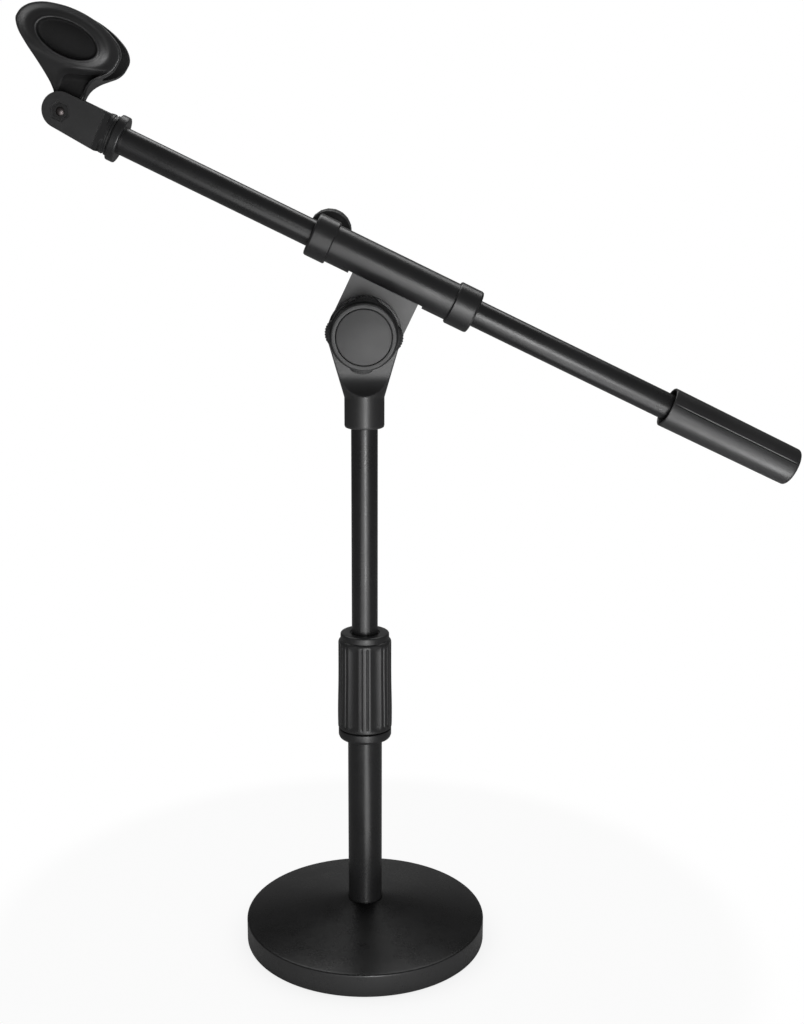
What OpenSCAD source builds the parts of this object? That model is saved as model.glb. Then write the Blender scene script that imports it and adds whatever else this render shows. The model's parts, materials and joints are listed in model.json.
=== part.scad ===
// Table-top boom microphone stand: weighted round base, two-stage column
// with twist clutch, tilting boom with counterweight and microphone clip.
// Millimetres, +Z up, origin at the centre of the underside of the base.

/* [Base] */
// Outside diameter of the round base
base_d = 150; // [130:1:200]
// Height of the base rim above the table
base_rim_h = 15; // [12:0.5:20]
// Height of the base cone where it meets the lower tube
base_hub_h = 26.8; // [24:0.1:29]
// Thickness of the rubber pad under the base
pad_t = 2; // [1.5:0.1:2.4]

/* [Column] */
// Outside diameter of the lower tube
lower_d = 21; // [20.6:0.1:21]
// Wall thickness of the lower tube
lower_wall = 1.5; // [1.5:0.1:1.5]
// Outside diameter of the upper tube and of the boom tube
tube_d = 15.8; // [15.6:0.1:15.8]
// Wall thickness of the upper tube and of the boom tube
tube_wall = 1.2; // [1:0.1:1.5]
// Height of the top of the twist clutch
clutch_top_z = 202.2; // [202:0.1:210]
// Largest radius of the fluted grip
grip_r = 16.2; // [15.8:0.1:17]

/* [Head] */
// Height of the tilt pivot above the table
pivot_z = 383.5; // [380:0.5:395]
// Radius of the round ear of the yoke
ear_r = 21.5; // [21:0.1:22.2]
// Distance from the tilt pivot up to the boom axis
boom_up = 38.1; // [38:0.1:42]
// Rest angle of the boom, microphone end up
boom_tilt = 25.7; // [0:0.1:45]
// Diameter of the face of the tilt knob
knob_face_d = 37.5; // [34:0.5:38]

/* [Boom] */
// Position of the lock ring at the microphone end, from the middle of the sleeve
ring_s = -171.7; // [-171.9:0.1:-171.5]
// Position of the open mouth of the counterweight
weight_s = 178.7; // [165:0.1:190]
// Length of the counterweight
weight_l = 84.2; // [82:0.1:95]

/* [Microphone clip] */
// Radius of the seat that grips the microphone
seat_r = 12.8; // [11:0.1:13.5]
// Length of each oval jaw
jaw_l = 60; // [54:1:64]
// Thickness of the outer wall of each jaw
jaw_wall = 3; // [2.8:0.1:3.4]

/* [Hidden] */

fine = 96;
black = [0.035, 0.035, 0.037];
satin = [0.06, 0.06, 0.063];
plastic = [0.05, 0.05, 0.052];
nylon = [0.82, 0.81, 0.77];
steel = [0.66, 0.67, 0.69];
blackened = [0.10, 0.10, 0.11];
brass = [0.75, 0.60, 0.32];
rubber = [0.045, 0.045, 0.045];

base_r = base_d / 2;
lower_r = lower_d / 2;
lower_ir = lower_r - lower_wall;
tube_r = tube_d / 2;
tube_ir = tube_r - tube_wall;
seat_z = 21;                    // floor of the tube socket in the base
plug_top = 36;
ring_r = 14.85;
ring_low = 134.4;
ring_high = 140.8;
grip_low = 141.3;
grip_high = clutch_top_z - 4.1;
stem_r = 12.4;
lower_top = 158;
guide_low = 106;
guide_high = 118;
upper_top = 345;
collar_low = 328;
collar_r = 11.8;
ear_front = -5;                 // flat front of the ear
boss_front = -6.5;              // raised boss round the pivot
scoop_z = pivot_z - 22.9;       // where the fillet of the scoop starts
ear_back = -0.6;
plate_front = 0.2;
plate_back = 5.2;
knob_back = -8.3;
knob_front = -28;
sleeve_r = 11.25;
bush_r = 12.8;
barrel_r = 10;
liner_r = 9;
left_out = -51.5;
left_in = -38.3;
right_in = 38.2;
right_out = 52.7;
barrel_a = left_out + 2;
barrel_b = right_out - 3;
plate_w = 21;                   // half the width of the bracket plate
core_s = 200;
lock_s = -43.2;
lock_up = 9.9;
clip_s = -204.9;                // clip pivot along the boom axis
clevis_w = 11;
lug_w = 4.3;
slot_w = 4.65;
jaw_s = -9.9;                   // centre of the jaws from the clip pivot
jaw_n = 38;
face_s = clip_s + 25.9;         // end of the flat sides of the clip socket

// ---- frames -------------------------------------------------------------
module at_pivot() { translate([0, 0, pivot_z]) children(); }
module at_head() { at_pivot() rotate([0, boom_tilt, 0]) children(); }
// X along the boom axis towards the counterweight
module at_boom() { at_head() translate([0, 0, boom_up]) children(); }
module along() { rotate([0, 90, 0]) children(); }
// a cylinder along the boom axis from s0 to s1
module bar(r, s0, s1) { translate([s0, 0, 0]) along() cylinder(r = r, h = s1 - s0, $fn = fine); }
// a cylinder along Y from y0 to y1
module pin(r, y0, y1) { translate([0, y1, 0]) rotate([90, 0, 0]) cylinder(r = r, h = y1 - y0, $fn = fine); }
module hex_pin(r, y0, y1) { translate([0, y1, 0]) rotate([90, 0, 0]) cylinder(r = r, h = y1 - y0, $fn = 6); }
module turn(p) { rotate_extrude($fn = fine) polygon(p); }
module turned_bar(p) { along() rotate_extrude($fn = fine) polygon(p); }
module at_clip() { at_boom() translate([clip_s, 0, 0]) children(); }
module at_lock() { at_boom() translate([lock_s, 0, 0]) rotate([lock_up, 0, 0]) rotate([-90, 0, 0]) children(); }

// ---- base ---------------------------------------------------------------
module base_casting() {
  color(black) turn([
    [14, 0.8], [14, 11], [5.3, 11], [5.3, seat_z], [lower_r, seat_z],
    [lower_r, base_hub_h - 0.5], [lower_r + 0.6, base_hub_h],
    [base_r - 2.6, base_rim_h + 0.5], [base_r - 1.5, base_rim_h + 0.15],
    [base_r - 0.7, base_rim_h - 0.25], [base_r - 0.2, base_rim_h - 0.9],
    [base_r, base_rim_h - 1.8], [base_r, 1.6], [base_r - 0.3, 1.0],
    [base_r - 1, 0.8], [base_r - 3, 0.8], [base_r - 3, pad_t], [15.5, pad_t], [15.5, 0.8]]);
}
module base_pad() {
  color(rubber) difference() {
    cylinder(r = base_r - 3, h = pad_t, $fn = fine);
    difference() {
      translate([0, 0, 0.8]) cylinder(r = 15.5, h = 5, $fn = fine);
      translate([0, 0, 0]) cylinder(r = 14, h = 0.9, $fn = fine);
    }
  }
}
module base_washer() {
  color(steel) translate([0, 0, 9]) difference() {
    cylinder(r = 11, h = 2, $fn = fine);
    translate([0, 0, -1]) cylinder(r = 5.3, h = 4, $fn = 48);
  }
}
module base_bolt() {
  color(steel) {
    translate([0, 0, 3]) cylinder(r = 9.2, h = 6, $fn = 6);
    translate([0, 0, 8.9]) cylinder(r = 5, h = 25.1, $fn = 48);
  }
}

// ---- lower tube and clutch ---------------------------------------------
module lower_tube() {
  color(satin) difference() {
    translate([0, 0, seat_z]) cylinder(r = lower_r, h = lower_top - seat_z, $fn = fine);
    translate([0, 0, seat_z - 1]) cylinder(r = lower_ir, h = lower_top - seat_z + 2, $fn = fine);
  }
}
module lower_tube_plug() {
  color(steel) difference() {
    translate([0, 0, seat_z]) cylinder(r = lower_ir, h = plug_top - seat_z, $fn = fine);
    translate([0, 0, seat_z - 1]) cylinder(r = 5, h = 20, $fn = 48);
  }
}
module clutch_bottom_ring() {
  color(plastic) turn([[lower_r, ring_low], [14.2, ring_low], [15.2, ring_low + 0.35], [15.9, ring_low + 1.1],
    [16.2, ring_low + 2.2], [16.2, ring_high - 0.6], [15.8, ring_high], [lower_r, ring_high]]);
}
module clutch_stem() {
  color(plastic) difference() {
    turn([[lower_r, 142], [stem_r - 0.5, 142], [stem_r, 142.6], [stem_r, 161.6], [stem_r - 0.6, 162.4],
      [tube_r + 0.5, 162.4], [tube_r + 0.5, lower_top], [lower_r, lower_top]]);
    for (i = [0 : 4]) translate([0, 0, 146 + 3 * i])
      rotate_extrude($fn = fine) polygon([[stem_r - 0.8, 0.6], [stem_r + 1, -0.6], [stem_r + 1, 1.8]]);
  }
}
module clutch_collet() {
  color(nylon) difference() {
    turn([[tube_r + 0.05, 163], [11.4, 163], [11.4, 167], [9.4, 191], [tube_r + 0.05, 191]]);
    translate([0, -0.8, 166]) cube([20, 1.6, 40]);
    for (a = [120, 240]) rotate([0, 0, a]) translate([0, -0.5, 172]) cube([20, 1, 40]);
  }
}
// one finger flute of the grip
module flute(a, w, deep, z0, z1) {
  rotate([0, 0, a]) translate([0, -(grip_r + w - deep), z0]) cylinder(r = w, h = z1 - z0, $fn = 48);
}
module clutch_grip() {
  color(plastic) difference() {
    turn([[stem_r + 0.08, grip_low], [grip_r - 0.7, grip_low], [grip_r + 0.2, grip_low + 1],
      [grip_r + 0.45, grip_low + 12], [grip_r, grip_high - 6], [grip_r - 0.25, grip_high - 1.4],
      [grip_r - 1.0, grip_high - 0.3], [grip_r - 1.6, grip_high], [tube_r + 0.6, grip_high],
      [tube_r + 0.6, 193], [9.8, 192], [11.8, 167.4], [11.8, 165.6], [stem_r + 0.08, 165]]);
    for (i = [0 : 6]) {
      flute(360 * (i + 0.5) / 7, 6.5, 0.95, grip_low + 2.6, grip_high - 4.6);
      for (m = [-6.2, 6.2]) flute(360 * i / 7 + m, 1.0, 0.55, grip_low + 3, grip_high - 5);
    }
  }
}
module clutch_top_ring() {
  color(plastic) turn([[tube_r + 0.35, grip_high], [ring_r, grip_high], [ring_r, clutch_top_z - 1.2],
    [ring_r - 0.35, clutch_top_z - 0.45], [ring_r - 1.1, clutch_top_z], [10.9, clutch_top_z],
    [10.5, clutch_top_z - 0.4], [10.3, clutch_top_z - 2.4], [tube_r + 0.35, clutch_top_z - 2.4]]);
}

// ---- upper tube and yoke ------------------------------------------------
module upper_tube() {
  color(satin) difference() {
    translate([0, 0, guide_high]) cylinder(r = tube_r, h = upper_top - guide_high, $fn = fine);
    translate([0, 0, guide_high - 1]) cylinder(r = tube_ir, h = upper_top - guide_high + 2, $fn = fine);
  }
}
module tube_guide() {
  color(nylon) turn([[4, guide_low], [lower_ir - 0.6, guide_low], [lower_ir - 0.07, guide_low + 0.8],
    [lower_ir - 0.07, guide_high - 0.6], [lower_ir - 0.5, guide_high], [tube_ir, guide_high],
    [tube_ir, guide_high + 11], [tube_ir - 0.6, guide_high + 12], [4, guide_high + 12]]);
}
// profile of the scoop in the Y-Z plane: flat ear, wide fillet, 45 degree ramp
module scoop() {
  rotate([90, 0, 90]) translate([0, 0, -40]) linear_extrude(80) polygon(concat(
    [[-60, pivot_z + 60], [ear_front, pivot_z + 60]],
    [for (a = [0 : 2.5 : 45]) [ear_front - 15 + 15 * cos(a), scoop_z - 15 * sin(a)]],
    [[ear_front - 15, scoop_z - 21.2], [-60, scoop_z - 21.2]]));
}
module yoke_casting() {
  color(satin) difference() {
    union() {
      difference() {
        union() {
          turn([[0, collar_low], [collar_r - 1.2, collar_low], [collar_r - 0.4, collar_low + 0.4],
            [collar_r, collar_low + 1.4], [collar_r, 350], [0, 350]]);
          hull() {
            translate([0, 0, 346]) cylinder(r = collar_r, h = 4, $fn = 64);
            at_pivot() translate([0, ear_back, 0]) rotate([90, 0, 0]) cylinder(r = ear_r, h = ear_back - ear_front, $fn = 96);
          }
        }
        scoop();
      }
      at_pivot() pin(13, boss_front, ear_front + 1);
    }
    // socket for the upper tube
    translate([0, 0, collar_low - 1]) cylinder(r = tube_r, h = upper_top - collar_low + 1, $fn = fine);
    // flat back of the ear, where the boom bracket turns
    translate([-40, ear_back, pivot_z - ear_r - 1.3]) cube([80, 40, 80]);
    // pivot bore
    at_pivot() pin(4.07, -30, 30);
    // set screw hole
    translate([0, 20, 337]) rotate([90, 0, 0]) cylinder(r = 2.5, h = 20, $fn = 32);
  }
}
module yoke_set_screw() {
  color(steel) translate([0, 0, 337]) difference() {
    pin(2.5, tube_r + 0.02, 11.2);
    hex_pin(1.45, 9, 12);
  }
}
module friction_washer() {
  color([0.25, 0.16, 0.11]) at_pivot() difference() {
    pin(17, ear_back, 0.15);
    pin(4.3, -5, 5);
  }
}

// ---- boom bracket, sleeve and bushes ------------------------------------
module boom_bracket() {
  color(satin) difference() {
    union() {
      at_boom() bar(barrel_r, barrel_a, barrel_b);
      at_head() {
        pin(plate_w, plate_front, plate_back);
        translate([-plate_w, plate_front, 0]) cube([2 * plate_w, plate_back - plate_front, boom_up - 6]);
      }
    }
    at_boom() bar(liner_r, -60, 60);
    at_head() rotate([90, 0, 0]) translate([0, 0, -plate_back - 1]) linear_extrude(plate_back - plate_front + 2) square(8.2, center = true);
    at_lock() cylinder(r = 3.1, h = 20, $fn = 32);
  }
}
module sleeve_cover() {
  color(plastic) at_boom() difference() {
    bar(sleeve_r, left_in, right_in);
    bar(barrel_r, left_in - 1, right_in + 1);
    // flat window where the bracket comes out underneath
    translate([-23.4, -20, -20]) cube([47.2, 40, 10.25]);
    // slot for the plate of the bracket
    translate([-23.4, -5.9, -20]) cube([47.2, 11.8, 12.6]);
  }
}
module bush(out, inn, wall) {
  d = inn > out ? 1 : -1;
  turned_bar([[8.3, out], [bush_r - 1.4, out], [bush_r - 0.4, out + d * 0.4], [bush_r, out + d * 1.4],
    [bush_r, inn - d * 0.7], [bush_r - 0.5, inn], [barrel_r, inn], [barrel_r, out + d * wall], [8.3, out + d * wall]]);
}
module sleeve_bush_left() {
  color(plastic) difference() {
    union() {
      at_boom() bush(left_out, left_in, 2);
      at_lock() translate([0, 0, 10.5]) cylinder(r = 5.6, h = 7, $fn = 48);
    }
    at_boom() bar(barrel_r, barrel_a, left_in + 5);
    at_lock() cylinder(r = 4.4, h = 30, $fn = 6);
    at_lock() cylinder(r = 3.1, h = 30, $fn = 32);
  }
}
module sleeve_bush_right() { color(plastic) at_boom() bush(right_out, right_in, 3); }

// ---- tilt clamp ---------------------------------------------------------
module tilt_bolt() {
  color(steel) at_head() {
    rotate([90, 0, 0]) translate([0, 0, -plate_back]) linear_extrude(plate_back - plate_front) square(8, center = true);
    pin(4, -22, plate_front + 0.1);
    intersection() {
      pin(9, plate_back, plate_back + 4.5);
      translate([0, plate_back - 8, 0]) sphere(r = 12.3, $fn = 64);
    }
  }
}
module tilt_washer() {
  color(steel) at_pivot() difference() {
    pin(9.5, boss_front - 1.6, boss_front);
    pin(4.3, -20, 5);
  }
}
// radius of the knob skirt: four gripping lobes with fine teeth
function lobe(a) = let (d = abs(((a + 360 - 5) % 90) - 45), l = 45 - d)
  20.2 + (l < 19 ? 2.2 * pow(cos(l * 90 / 19), 0.6) + (l < 14 ? 0.22 * cos(l * 360 / 4) : 0) : 0);
module tilt_knob() {
  color(plastic) at_pivot() rotate([90, 0, 0]) difference() {
    union() {
      translate([0, 0, 9.6]) linear_extrude(8.4) polygon([for (i = [0 : 359]) lobe(i) * [cos(i), -sin(i)]]);
      rotate_extrude($fn = fine) polygon([[0, -knob_back], [17.6, -knob_back], [18.8, 9], [19.2, 10], [0, 10]]);
      rotate_extrude($fn = fine) polygon([[0, 17.8], [19.4, 17.8], [19.4, 18.8], [18.9, 20.2], [knob_face_d / 2, 21.4],
        [knob_face_d / 2, 26.2], [knob_face_d / 2 - 0.5, 27.3], [knob_face_d / 2 - 1.5, 28], [0, 28]]);
    }
    cylinder(r = 4.07, h = 24, $fn = 48);
    cylinder(r = 7.5, h = 18.3, $fn = 6);
    translate([0, 0, 26.2]) cylinder(r = 16, h = 5, $fn = fine);
  }
}
module knob_insert() {
  color(brass) at_pivot() difference() {
    rotate([90, 0, 0]) translate([0, 0, -knob_back]) cylinder(r = 7.5, h = 18.3 + knob_back, $fn = 6);
    pin(4.07, -24, 0);
  }
}
module knob_cap() {
  color(plastic) at_pivot() translate([0, 0, 0]) rotate([90, 0, 0])
    rotate_extrude($fn = fine) polygon([[0, 26.2], [15.9, 26.2], [15.9, 27.6], [15.6, 27.95], [0, 27.95]]);
}

// ---- boom lock ----------------------------------------------------------
module lock_insert() {
  color(brass) at_lock() difference() {
    translate([0, 0, 12.4]) cylinder(r = 4.4, h = 4.6, $fn = 6);
    cylinder(r = 2.57, h = 30, $fn = 32);
  }
}
module brake_shoe() {
  color(nylon) at_lock() difference() {
    cylinder(r = 3.0, h = 12.2, $fn = 32);
    rotate([90, 0, 0]) rotate([0, 90, 0]) translate([0, 0, -10]) cylinder(r = 9.05, h = 20, $fn = fine);
  }
}
module lock_screw() {
  color(steel) at_lock() translate([0, 0, 12.4]) cylinder(r = 2.5, h = 15, $fn = 32);
}
module lock_knob() {
  color(plastic) at_lock() difference() {
    union() {
      rotate_extrude($fn = fine) polygon([[0, 18], [6, 18], [7, 19.5], [11.2, 22], [12.4, 23], [12.6, 24.2],
        [12.6, 30.5], [12.1, 31.8], [10.8, 32.6], [0, 33.2]]);
      for (a = [0 : 20 : 340]) rotate([0, 0, a]) translate([11, 0, 24.4]) cylinder(r = 1.8, h = 5.6, $fn = 24);
    }
    translate([0, 0, 10]) cylinder(r = 2.5, h = 17.4, $fn = 32);
  }
}

// ---- boom ---------------------------------------------------------------
module boom_liner() {
  color(nylon) at_boom() difference() {
    bar(liner_r - 0.05, barrel_a + 0.4, barrel_b - 0.4);
    bar(tube_r + 0.05, -60, 60);
    translate([-60, -0.8, -20]) cube([120, 1.6, 20]);
  }
}
module boom_tube() {
  color(satin) at_boom() difference() {
    bar(tube_r, ring_s + 2.5, core_s);
    bar(tube_ir, ring_s, core_s + 5);
  }
}
module boom_stud() {
  color(blackened) at_boom() difference() {
    union() {
      bar(tube_ir, ring_s + 2.5, ring_s + 20);
      bar(tube_r, ring_s - 17, ring_s + 2.5);
    }
    for (i = [0 : 5]) translate([ring_s - 16 + 2.4 * i, 0, 0]) along()
      rotate_extrude($fn = fine) polygon([[tube_r - 0.6, 0.6], [tube_r + 1, -0.4], [tube_r + 1, 1.6]]);
  }
}
module counterweight_core() {
  color(steel) at_boom() {
    bar(tube_ir, core_s - 16, core_s + 0.1);
    bar(10.3, core_s, core_s + 58);
  }
}
module counterweight_grip() {
  e = weight_s + weight_l;
  color(plastic) difference() {
    at_boom() turned_bar([[10.7, weight_s], [11.5, weight_s], [12.02, weight_s + 0.8], [11.45, e - 3],
      [11.2, e - 1.6], [10.6, e - 0.6], [9.6, e], [0, e], [0, core_s + 58], [10.3, core_s + 58],
      [10.3, core_s], [tube_r, core_s], [tube_r, weight_s + 5], [10.7, weight_s + 5]]);
    // moulding seam along the grip
    at_boom() rotate([-19, 0, 0]) translate([weight_s + 1.2, -12.4, -0.2]) cube([weight_l - 4, 0.75, 0.4]);
  }
}
module lock_ring() {
  color(plastic) at_boom()
    turned_bar([[tube_r + 0.08, ring_s - 2.6], [12.8, ring_s - 2.6], [13.25, ring_s - 2.3], [13.4, ring_s - 1.8],
      [13.4, ring_s + 1.6], [13.25, ring_s + 2.1], [12.8, ring_s + 2.4], [tube_r + 0.08, ring_s + 2.4]]);
}

// ---- microphone clip ----------------------------------------------------
module clip_socket() {
  color(plastic) difference() {
    at_boom() {
      // round threaded neck
      turned_bar([[0, face_s - 1.5], [11.2, face_s - 1.5], [11.6, face_s + 0.4], [11.6, face_s + 1.5], [10.9, face_s + 1.9],
        [10.9, face_s + 2.6], [11.6, face_s + 3.0], [11.6, face_s + 4.0], [11.2, face_s + 4.5], [0, face_s + 4.5]]);
      // flat sided body that ends in a round nose about the pivot
      translate([clip_s, clevis_w, 0]) rotate([90, 0, 0]) linear_extrude(2 * clevis_w) union() {
        translate([-0.3, 0.5]) circle(r = 10.1, $fn = fine);
        polygon([[-1.05, -9.55], [24.9, -11.4], [25.9, -11.2], [25.9, 10.5], [24.9, 10.7], [-0.3, 10.59]]);
      }
    }
    // thread for the stud
    at_boom() bar(tube_r + 0.06, clip_s + 13.9, ring_s);
    // slot for the lug of the clip
    at_boom() translate([clip_s - 14, -slot_w, -16]) cube([28.5, 2 * slot_w, 32]);
    at_boom() translate([clip_s, 0, 0]) pin(2.56, -20, 20);
    // two step recess for the nut
    at_boom() translate([clip_s, 0, 0]) hex_pin(6, -clevis_w - 1, -clevis_w + 0.9);
    at_boom() translate([clip_s, 0, 0]) hex_pin(4.8, -clevis_w - 1, -clevis_w + 4.6);
    // corners of the flat body eased to the neck
    at_boom() for (m = [-1, 1]) translate([face_s - 2, m * (clevis_w + 4.55), 0]) rotate([0, 0, m * 12]) translate([-2, -5, -20]) cube([12, 10, 40]);
  }
}
module clip_nut() {
  color(blackened) at_boom() translate([clip_s, 0, 0]) difference() {
    hex_pin(4.65, -clevis_w + 0.6, -clevis_w + 4.6);
    pin(2.5, -20, 20);
  }
}
module clip_screw() {
  color(steel) at_boom() translate([clip_s, 0, 0]) {
    pin(2.5, -clevis_w + 1.2, clevis_w + 0.1);
    intersection() {
      pin(2.5, -clevis_w + 0.05, -clevis_w + 1.3);
      translate([0, -clevis_w + 3.5, 0]) sphere(r = 3.4, $fn = 48);
    }
    intersection() {
      pin(4.7, clevis_w, clevis_w + 2.8);
      translate([0, clevis_w - 3.2, 0]) sphere(r = 6.2, $fn = 48);
    }
  }
}
// side view of the clip: an egg shaped jaw that runs down into the neck
jaw_outline = [[-39.5, 34], [-40, 37], [-39, 41], [-36.5, 44.5], [-33, 47.3], [-28, 49.8], [-22, 51.5], [-16, 52.6], [-9, 53],
  [-2, 52.5], [5, 51], [10, 49.2], [15, 46.7], [18.3, 43.6], [20, 40.3], [20, 37], [19.3, 33], [17.2, 29.2], [13.6, 25.6],
  [10.6, 22.2], [8.6, 18], [8, 12], [8.4, 2], [-8.6, 3.6], [-9, 8.2], [-12.2, 11.4], [-15.5, 14.2], [-20, 17.9], [-24, 20.4],
  [-30, 24.3], [-36, 29]];
module oval_plate(a, b, y0, y1) {
  translate([jaw_s - 0.4, y1, jaw_n - 1.2]) rotate([90, 0, 0]) linear_extrude(y1 - y0)
    polygon([for (i = [0 : 71]) [a * cos(5 * i), b * sin(5 * i)]]);
}
module mic_clip() {
  half = seat_r + jaw_wall;
  color(rubber) at_clip() difference() {
    union() {
      // lug between the ears of the socket
      pin(9.4, -lug_w, lug_w);
      translate([0, half, 0]) rotate([90, 0, 0]) linear_extrude(2 * half)
        polygon([for (p = jaw_outline) [p[1] > 22 ? jaw_s + (p[0] - jaw_s) * jaw_l / 60 : p[0], p[1]]]);
      // raised lips round the finger pockets
      for (m = [-1, 1]) oval_plate(18.6, 9.4, m > 0 ? half - 1 : -half - 0.8, m > 0 ? half + 0.8 : -half + 1);
    }
    // microphone seat, open along the top
    translate([0, 0, jaw_n]) bar(seat_r, jaw_s - 60, jaw_s + 60);
    translate([jaw_s - 60, -10.6, jaw_n]) cube([120, 21.2, 40]);
    // finger pockets outside the jaws
    for (m = [-1, 1]) oval_plate(17.2, 8.1, m > 0 ? seat_r + 1.4 : -half - 5, m > 0 ? half + 5 : -seat_r - 1.4);
    // neck tapered on both sides down to the lug
    for (m = [-1, 1]) rotate([90, 0, 90]) translate([0, 0, -60]) linear_extrude(120)
      polygon([[m * lug_w, -30], [m * lug_w, 12], [m * (lug_w + 2), 17], [m * half, 27], [m * 40, 27], [m * 40, -30]]);
    pin(2.56, -20, 20);
    // clearance for the nose of the socket, and for its top edge when the clip leans back
    for (m = [-1, 1]) {
      translate([0, m * 14.4, 0]) pin(11.6, -9.9, 9.9);
      rotate([0, -12, 0]) translate([0, m * 14.4 - 9.9, -5]) cube([40, 19.8, 16.4]);
    }
  }
}

base_casting();
base_pad();
base_bolt();
base_washer();
lower_tube();
lower_tube_plug();
clutch_bottom_ring();
clutch_stem();
clutch_collet();
clutch_grip();
clutch_top_ring();
upper_tube();
tube_guide();
yoke_casting();
yoke_set_screw();
friction_washer();
boom_bracket();
sleeve_cover();
sleeve_bush_left();
sleeve_bush_right();
tilt_bolt();
tilt_washer();
tilt_knob();
knob_insert();
knob_cap();
lock_insert();
lock_screw();
lock_knob();
brake_shoe();
boom_liner();
boom_tube();
boom_stud();
counterweight_core();
counterweight_grip();
lock_ring();
clip_socket();
clip_nut();
clip_screw();
mic_clip();
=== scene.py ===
import bpy, bmesh, json, math
from mathutils import Vector, Matrix, Euler


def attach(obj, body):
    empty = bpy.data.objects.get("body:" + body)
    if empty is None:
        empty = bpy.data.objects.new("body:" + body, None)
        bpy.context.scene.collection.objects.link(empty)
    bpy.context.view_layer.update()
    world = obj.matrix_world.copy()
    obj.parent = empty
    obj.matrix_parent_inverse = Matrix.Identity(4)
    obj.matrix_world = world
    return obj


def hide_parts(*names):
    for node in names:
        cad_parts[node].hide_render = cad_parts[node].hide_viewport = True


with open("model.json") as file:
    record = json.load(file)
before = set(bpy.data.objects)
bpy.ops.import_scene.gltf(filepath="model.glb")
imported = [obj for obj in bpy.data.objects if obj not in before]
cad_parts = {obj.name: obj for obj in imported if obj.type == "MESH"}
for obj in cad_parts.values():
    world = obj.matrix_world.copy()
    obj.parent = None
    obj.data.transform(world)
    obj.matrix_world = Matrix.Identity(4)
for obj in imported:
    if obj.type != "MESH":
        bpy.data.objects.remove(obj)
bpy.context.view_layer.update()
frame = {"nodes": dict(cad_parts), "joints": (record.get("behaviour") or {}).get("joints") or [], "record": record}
NODES = frame["nodes"]
scene = bpy.context.scene

# ------------------------------------------------------------------ camera
cam_data = bpy.data.cameras.new("camera")
cam = bpy.data.objects.new("camera", cam_data)
scene.collection.objects.link(cam)
cam_data.sensor_fit = "AUTO"
cam_data.sensor_width = 36.0
cam_data.lens = 1400.0 / 1024.0 * 36.0
cam_data.shift_x = 0.0259
cam_data.clip_start = 0.02
cam_data.clip_end = 50
cam.location = (0.0065, -0.8151, 0.4622)
cam.rotation_euler = (math.radians(90 - 12.81), 0, 0)
scene.camera = cam
scene.view_settings.view_transform = "Standard"
scene.view_settings.look = "None"
scene.view_settings.exposure = 0.0
scene.view_settings.gamma = 1.0


# --------------------------------------------------------------- materials
class Graph:
    """A small helper that builds a node tree."""

    def __init__(self, name):
        self.m = bpy.data.materials.new(name)
        self.m.use_nodes = True
        self.t = self.m.node_tree
        self.t.nodes.clear()
        self.out = self.t.nodes.new("ShaderNodeOutputMaterial")
        self.b = self.t.nodes.new("ShaderNodeBsdfPrincipled")
        self.t.links.new(self.b.outputs[0], self.out.inputs[0])
        self.tc = self.t.nodes.new("ShaderNodeTexCoord")

    def node(self, kind, **kw):
        n = self.t.nodes.new(kind)
        for k, v in kw.items():
            setattr(n, k, v)
        return n

    def link(self, a, b):
        self.t.links.new(a, b)

    def noise(self, scale, detail=3.0, rough=0.55, vec=None, stretch=None):
        n = self.node("ShaderNodeTexNoise")
        n.inputs["Scale"].default_value = scale
        n.inputs["Detail"].default_value = detail
        n.inputs["Roughness"].default_value = rough
        src = vec or self.tc.outputs["Object"]
        if stretch:
            mp = self.node("ShaderNodeMapping")
            mp.inputs["Scale"].default_value = stretch
            self.link(src, mp.inputs["Vector"])
            src = mp.outputs[0]
        self.link(src, n.inputs["Vector"])
        return n.outputs["Fac"]

    def remap(self, fac, a, b, lo, hi, smooth=False):
        n = self.node("ShaderNodeMapRange")
        if smooth:
            n.interpolation_type = "SMOOTHSTEP"
        n.inputs["From Min"].default_value = a
        n.inputs["From Max"].default_value = b
        n.inputs["To Min"].default_value = lo
        n.inputs["To Max"].default_value = hi
        self.link(fac, n.inputs["Value"])
        return n.outputs[0]

    def math(self, op, a, b):
        n = self.node("ShaderNodeMath", operation=op)
        for i, v in enumerate((a, b)):
            if isinstance(v, (int, float)):
                n.inputs[i].default_value = v
            else:
                self.link(v, n.inputs[i])
        return n.outputs[0]

    def mix(self, fac, c1, c2):
        n = self.node("ShaderNodeMix", data_type="RGBA")
        if isinstance(fac, (int, float)):
            n.inputs[0].default_value = fac
        else:
            self.link(fac, n.inputs[0])
        for i, c in ((6, c1), (7, c2)):
            if isinstance(c, (tuple, list)):
                n.inputs[i].default_value = (*c, 1)
            else:
                self.link(c, n.inputs[i])
        return n.outputs[2]

    def bump(self, height, strength, dist, normal=None):
        n = self.node("ShaderNodeBump")
        n.inputs["Strength"].default_value = strength
        n.inputs["Distance"].default_value = dist
        self.link(height, n.inputs["Height"])
        if normal is not None:
            self.link(normal, n.inputs["Normal"])
        return n.outputs[0]


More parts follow.
